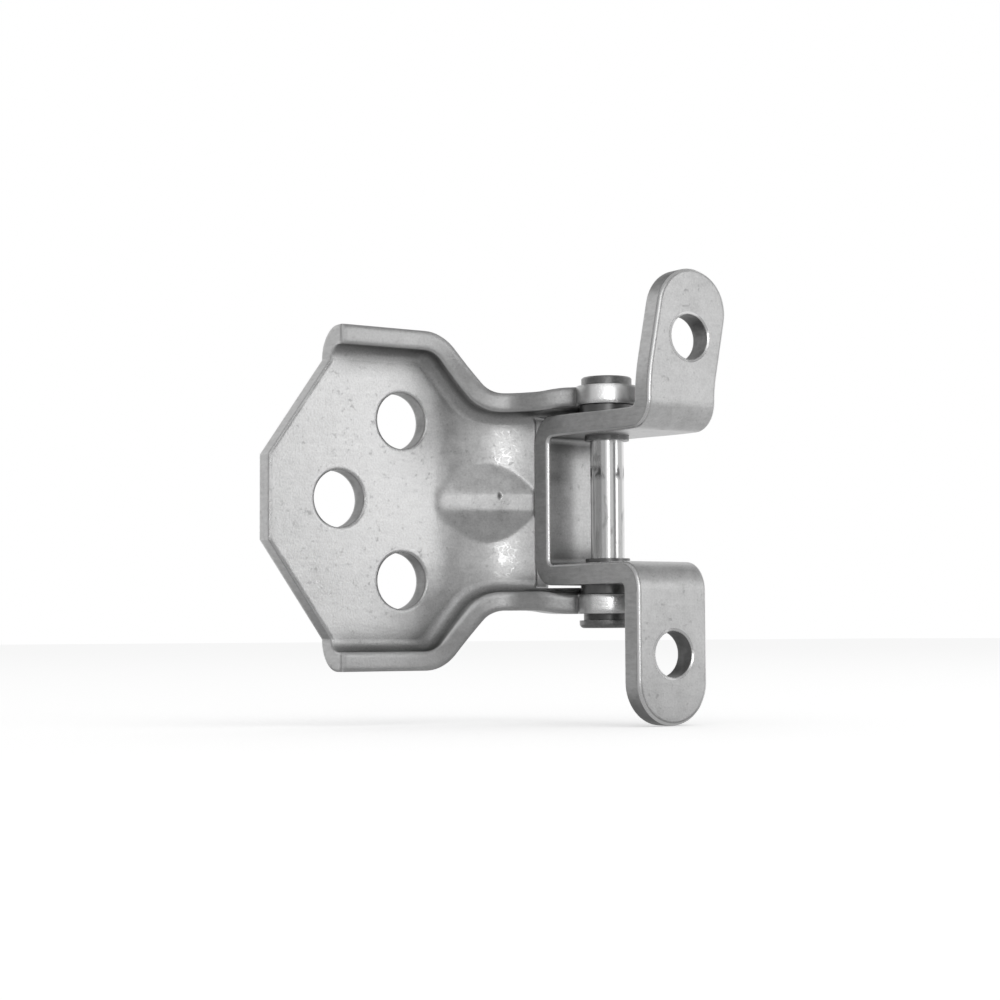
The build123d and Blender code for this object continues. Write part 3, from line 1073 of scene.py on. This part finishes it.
@dataclass(frozen=True)
class Card:
    """A curved card round the hinge, for the metal to mirror and out of the camera's sight.

    Attributes:
        name: what it is called.
        start: degrees round where it starts, from the plate's front to the right.
        end: degrees round where it ends.
        low: degrees up where it starts.
        high: degrees up where it ends.
        level: how bright it looks, where 1 is white.
        radius: metres away.
        around: how many flats it has round the hinge.
        upward: how many it has up.
    """

    name: str
    start: float
    end: float
    low: float
    high: float
    level: float
    radius: float = 0.9
    around: int = 30
    upward: int = 10

    def build(self, middle: Vector) -> bpy.types.Object:
        """Bends the card round the hinge.

        Args:
            middle: what it stands round.

        Returns:
            The card.
        """
        points = []
        for step in range(self.around + 1):
            turn = self.start + (self.end - self.start) * step / self.around
            for tier in range(self.upward + 1):
                rise = self.low + (self.high - self.low) * tier / self.upward
                points.append(Station(turn, rise, self.radius).matrix(middle).translation)
        column = self.upward + 1
        faces = []
        for step in range(self.around):
            for tier in range(self.upward):
                corner = step * column + tier
                faces.append((corner, corner + column, corner + column + 1, corner + 1))
        return mirrored_card(self.name, points, faces, self.level)


@dataclass(frozen=True)
class MirroredFloorShade:
    """A grey sheet on the floor under the hinge that only the metal's reflections show: painted shade of the
    floor under the hinge, and a darker side for the metal to mirror.

    Attributes:
        name: what it is called.
        left: where it starts along the plate.
        right: where it ends.
        level: how bright it looks, where 1 is white.
        near: where it starts, out in front.
        far: where it ends, behind the plate.
    """

    name: str
    left: float
    right: float
    level: float
    near: float = -0.9
    far: float = 0.07

    def build(self, height: float) -> bpy.types.Object:
        """Lays the sheet.

        Args:
            height: the floor's height.

        Returns:
            The cloth.
        """
        corners = [
            (self.left, self.near, height),
            (self.right, self.near, height),
            (self.right, self.far, height),
            (self.left, self.far, height),
        ]
        return mirrored_card(self.name, corners, [(0, 1, 2, 3)], self.level)


@dataclass
class Studio:
    """The plain pale floor, the soft light and the camera.

    Attributes:
        floor_reach: half the floor's width.
        floor_gap: how far the floor lies under the hinge.
        floor_paper: what the floor is made of.
        daylight: level of the plain light from all sides.
        white: level of the white surroundings.
        lamps: the soft lamps.
        cards: the cards that give the metal its darker sides.
        floor_shades: the grey sheets under the hinge, which paint the floor's shade into the metal's
            reflections.
        view: where the camera stands.
        aim: what it looks at.
        roll: degrees that it is turned.
        lens: its focal length, in millimetres.
        sensor: its sensor's width, in millimetres.
    """

    floor_reach: float = 6.0
    floor_gap: float = 0.1 * MM
    floor_paper: FloorPaper = FloorPaper()
    daylight: float = 0.6
    white: float = 1.0
    lamps: List[SoftBox] = field(
        default_factory=lambda: [
            SoftBox("lamp_above", Station(20.0, 62.0, 1.6), 1.0, 1.0, 0.9, False),
            SoftBox("lamp_front", Station(-25.0, 5.0, 0.75), 0.075, 0.3, 2.9, True),
            SoftBox("lamp_right", Station(33.0, 5.0, 0.85), 0.2, 0.6, 1.1, True),
        ]
    )
    cards: List[Card] = field(
        default_factory=lambda: [
            Card("card_left", -130.0, -76.0, -4.0, 45.0, 0.28),
            Card("card_side", -76.0, -44.0, -4.0, 45.0, 0.50),
            Card("card_front", -17.0, 7.0, -4.0, 19.0, 0.70),
            Card("card_front_high", -17.0, 7.0, 19.0, 45.0, 0.40),
            Card("card_dip", 7.0, 25.0, -4.0, 45.0, 0.24),
            Card("card_right", 40.0, 85.0, -4.0, 45.0, 0.66),
            Card("card_above", -180.0, 180.0, 45.0, 90.0, 0.36),
        ]
    )
    # Grey sheets that only the metal's reflections show: painted shade of the floor under the hinge.
    floor_shades: List[MirroredFloorShade] = field(
        default_factory=lambda: [
            MirroredFloorShade("floor_shade_left", -0.6, 0.075, 0.36),
            MirroredFloorShade("floor_shade_right", 0.075, 0.45, 0.72),
        ]
    )
    view: Station = Station(-34.027, -3.673, 0.4886)
    aim: Point = (21.3 * MM, -27.18 * MM, -0.71 * MM)
    roll: float = 0.306
    lens: float = 75.936
    sensor: float = 36.0

    def floor(self) -> bpy.types.Object:
        """Lays the floor under the hinge.

        Returns:
            The floor.
        """
        level = CAD_BOX[0].z - self.floor_gap
        reach = self.floor_reach
        plan = ((-reach, -reach), (reach, -reach), (reach, reach), (-reach, reach))
        corners = [(x, y, level) for x, y in plan]
        mesh = bpy.data.meshes.new("floor")
        mesh.from_pydata(corners, [], [(0, 1, 2, 3)])
        mesh.materials.append(self.floor_paper.material("floor_paper"))
        floor = bpy.data.objects.new("floor", mesh)
        bpy.context.scene.collection.objects.link(floor)
        return floor

    def surroundings(self) -> None:
        """Makes the world: plain light for the pieces, and white for the eye and for what mirrors it."""
        world = bpy.data.worlds.new("studio")
        world.use_nodes = True
        bpy.context.scene.world = world
        net = ShaderNet(world.node_tree)
        colour = net.mixed(net.seen(), grey(self.daylight), grey(self.white))
        shader = net.node("ShaderNodeBackground", {}, {"Color": colour, "Strength": 1.0})
        net.node("ShaderNodeOutputWorld", {}, {"Surface": shader})

    def camera(self) -> bpy.types.Object:
        """Stands the camera where the photograph was taken from.

        Returns:
            The camera.
        """
        data = bpy.data.cameras.new("camera")
        data.lens = self.lens
        data.sensor_width = self.sensor
        data.clip_start = 0.01
        camera = bpy.data.objects.new("camera", data)
        camera.matrix_world = self.view.matrix(Vector(self.aim), self.roll)
        bpy.context.scene.collection.objects.link(camera)
        bpy.context.scene.camera = camera
        return camera

    def build(self) -> List[bpy.types.Object]:
        """Builds the studio.

        Returns:
            What stands in it.
        """
        middle = Vector(self.aim)
        self.surroundings()
        stands = [self.floor()]
        stands += [lamp.build(middle) for lamp in self.lamps]
        stands += [card.build(middle) for card in self.cards]
        stands += [floor_shade.build(CAD_BOX[0].z) for floor_shade in self.floor_shades]
        stands.append(self.camera())
        return stands


def main() -> None:
    """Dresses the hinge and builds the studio."""
    logging.basicConfig(level=logging.INFO, format="%(name)s: %(message)s")
    bpy.context.scene.view_settings.view_transform = "Standard"
    for assembly in (PillarLeaf(), DoorLeaf(), PinSet(), Studio()):
        for piece in assembly.build():
            LOG.info("%s: %s", type(assembly).__name__, piece.name)


if __name__ == "__main__":
    main()
